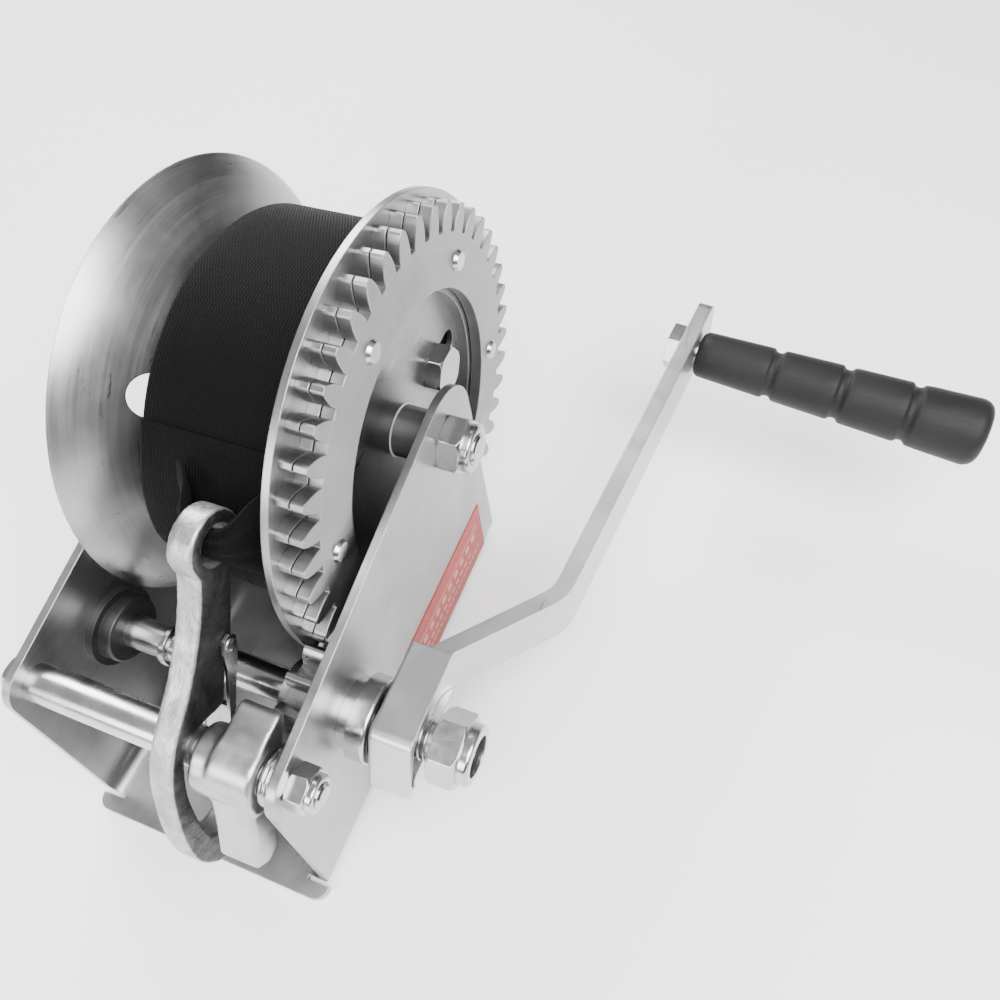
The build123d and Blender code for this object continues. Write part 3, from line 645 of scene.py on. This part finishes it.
def make_grip(paint):
    """Lathe-turned rubber grip with three rounded grooves and a domed end."""
    axis = Vector((math.cos(LEAN), -math.sin(LEAN), 0))
    middle = (KNEE[0] + (CRANK_LENGTH - KNEE[1]) * math.tan(LEAN), PINION[0] + CRANK_LENGTH, PINION[1])
    origin = Vector(middle) + axis * 4.0
    length = GRIP_LENGTH
    profile = [(0.0, 5.1), (0.0, 7.9), (0.3, 8.5), (1.0, 9.1), (2.0, 9.6)]
    last = 2.0
    for groove in GRIP_GROOVES:
        for k in range(1, 9):
            x = last + (groove - 1.0 - last) * k / 8
            profile.append((x, GRIP_RADIUS + GRIP_SPREAD * x / length))
        rim = GRIP_RADIUS + GRIP_SPREAD * groove / length
        profile += [(groove - 0.2, rim - 0.12), (groove + 0.3, rim - 0.5), (groove + 0.8, rim - 1.1),
                    (groove + 1.6, rim - 1.38), (groove + 2.8, rim - 1.38), (groove + 3.5, rim - 1.05),
                    (groove + 4.0, rim - 0.45), (groove + 4.5, rim - 0.02), (groove + 5.2, rim + 0.14)]
        last = groove + 5.2
    for k in range(1, 7):
        x = last + (length - 5.5 - last) * k / 6
        profile.append((x, 9.7 + 3.6 * x / length + 0.15 * k / 6))
    corner = profile[-1]
    for k in range(1, 10):
        a = math.pi / 2 * k / 9
        profile.append((corner[0] + 5.0 * math.sin(a), corner[1] - 4.4 + 4.4 * math.cos(a)))
    profile += [(length - 0.45, 6.0), (length - 0.6, 3.0), (length - 0.6, 0.4)]
    rings = lathe(profile, origin, axis, (0, 0, 1), 72)
    points, faces = skin(rings)
    grip = build("grip_rubber", points, faces, paint, "grip")
    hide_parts("grip")


def make_thread(name, x0, x1, centre, radius, pitch, depth, paint, body):
    """Rolled thread as a fine helical corrugation of a bolt's surface."""
    columns, steps = int((x1 - x0) / pitch * 10), 56
    rings = []
    for i in range(columns + 1):
        x = x0 + (x1 - x0) * i / columns
        fade = min(1.0, i / 5, (columns - i) / 5)
        ring = []
        for k in range(steps):
            a = 2 * math.pi * k / steps
            saw = abs(((x / pitch - k / steps) % 1.0) * 2 - 1)
            ring.append(side(x, centre, radius - depth + (depth * min(1.0, saw * 1.25)) * fade, a))
        rings.append(ring)
    points, faces = skin(rings)
    build(name, points, faces, paint, body)


def make_pawl_spring(paint):
    """Torsion spring of close turns round the tie tube, with a short leg at each end."""
    wire, turn_radius = 0.78, 8.2
    path = []
    turns, steps = 2.75, 30
    total = int(turns * steps)
    for k in range(total + 1):
        t = k / steps
        path.append(side(42.6 + 1.66 * t * 0.86, TIE, turn_radius, math.radians(-60) + 2 * math.pi * t))
    start, end = path[0], path[-1]
    lead_in = [start + Vector((0.1, 2.2, -2.2)), start + Vector((0.05, 0.9, -0.9))]
    drift = (path[-1] - path[-2]).normalized()
    lead_out = [end + drift * 2.5 + Vector((0.1, 0, 0)), end + drift * 7.0]
    path = smooth_curve([lead_in[0], lead_in[1], *path, lead_out[0], lead_out[1]], 2)
    points, faces = skin(tube(path, wire, 12))
    spring = build("pawl_torsion_spring", points, faces, paint, "frame")
    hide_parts("pawl_spring")


def make_latch_heads(paint):
    """Rolled heads on the ends of the latch pin."""
    low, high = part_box("latch_pin")
    middle = (low + high) / 2 * 1000
    centre = (middle.y, middle.z)
    for name, x, way in (("latch_head_right", high.x * 1000, 1), ("latch_head_left", low.x * 1000, -1)):
        profile = [(-0.65, 1.5), (-0.65, 2.5), (-0.3, 2.62), (0.0, 2.3), (0.12, 1.4), (0.15, 0.2)]
        rings = lathe(profile, (x, *centre), (way, 0, 0), (0, 1, 0), 28)
        points, faces = skin(rings)
        build(name, points, faces, paint, "frame")


def make_floor():
    mesh = bpy.data.meshes.new("floor")
    work = bmesh.new()
    bmesh.ops.create_grid(work, x_segments=8, y_segments=8, size=6.0)
    work.to_mesh(mesh)
    work.free()
    mesh.materials.append(floor_paint())
    floor = bpy.data.objects.new("floor", mesh)
    floor.location = (0, 0, CAD_BOX[0].z - 0.0004)
    bpy.context.scene.collection.objects.link(floor)


def paint_nodes():
    sheet = zinc("zinc_sheet", 0.44, 0.30, 0.36, grain=(90, 60, 900))
    dish = zinc("zinc_spun", 0.40, 0.24, 0.34, centre=DRUM, patches=18.0)
    gear = zinc("gear_plate", 0.34, 0.22, 0.40, centre=DRUM, edge_highlight_and_wear=0.9, edge=0.0006)
    bright = zinc("bright_zinc", 0.56, 0.40, 0.22, grain=(500, 500, 500), patches=60.0, edge=0.0004)
    arm = zinc("crank_zinc", 0.60, 0.48, 0.38, grain=(60, 60, 700), patches=30.0, edge=0.0006)
    shaft = zinc("shaft_steel", 0.50, 0.34, 0.24, centre=PINION, patches=60.0)
    tube_zinc = zinc("tube_zinc", 0.58, 0.46, 0.25, centre=TIE, patches=50.0)
    pinion = zinc("pinion_steel", 0.40, 0.26, 0.30, centre=PINION, patches=60.0)
    latch = zinc("latch_steel", 0.46, 0.28, 0.26, grain=(500, 90, 90), patches=80.0, edge=0.0003)
    nylon = dark_plastic("nylon_ring", 0.55, 0.5)
    black = dark_plastic("dark_sleeve", 0.030, 0.42, DRUM)
    bushing = dark_plastic("dark_bushing", 0.008, 0.45, PINION)
    dim = dark_plastic("dark_ring", 0.012, 0.5)
    choice = {
        "frame": sheet, "label": label_print("label_foil"), "pinion_bearing": bright,
        "pinion_bushing": bushing, "drum_spacer_right": black, "drum_spacer_left": black,
        "drum_bolt": bright, "drum_nut": bright, "drum_nut_insert": nylon, "tie_bolt": bright,
        "tie_nut": bright, "tie_nut_insert": nylon, "tie_tube": tube_zinc, "latch_pin": bright,
        "drum_hub": sheet, "drum_bushings": nylon, "left_flange": dish, "right_flange": dish,
        "gear_plate_inner": gear, "gear_plate_outer": gear, "gear_rivets": bright,
        "strap_bolt": bright, "pinion": pinion, "pinion_shaft": shaft, "shaft_collar": shaft,
        "crank_saddle": arm, "crank_arm": arm, "crank_nut": bright, "crank_nut_insert": dim,
        "grip_bolt": bright, "grip_nut": bright, "hook_latch": latch,
    }
    for name, paint in choice.items():
        for place in NODES[name].material_slots:
            place.material = paint
    return {"bright": bright, "shaft": shaft, "latch": latch}


make_camera()
make_world()
make_light("key", (0.55, -0.35, 1.15), (0.0, 0.03, 0.08), (1.1, 0.9), 52)
make_light("back", (-0.75, 0.85, 0.95), (0.0, 0.03, 0.08), (0.9, 0.6), 30)
make_light("front", (-0.35, -1.0, 0.55), (0.0, 0.0, 0.08), (0.7, 0.5), 12)
make_floor()
paints = paint_nodes()
strap = webbing("strap_webbing")
make_roll(strap)
make_tail(strap)
forged = forged_zinc("forged_zinc")
softened("hook_body", "forged_hook", 0.75, 7, forged, "frame", 0.12, 9.0)
cast = cast_zinc("cast_pawl_zinc", 0.50, 0.36, 0.36)
softened("pawl", "cast_pawl", 0.7, 7, cast, "pawl", 0.10, 12.0)
make_grip(rubber("grip_rubber_paint"))
make_thread("stud_thread", 72.5, 81.2, PINION, 7.25, 1.9, 0.8, paints["shaft"], "crank")
make_pawl_spring(paints["shaft"])
make_latch_heads(paints["bright"])
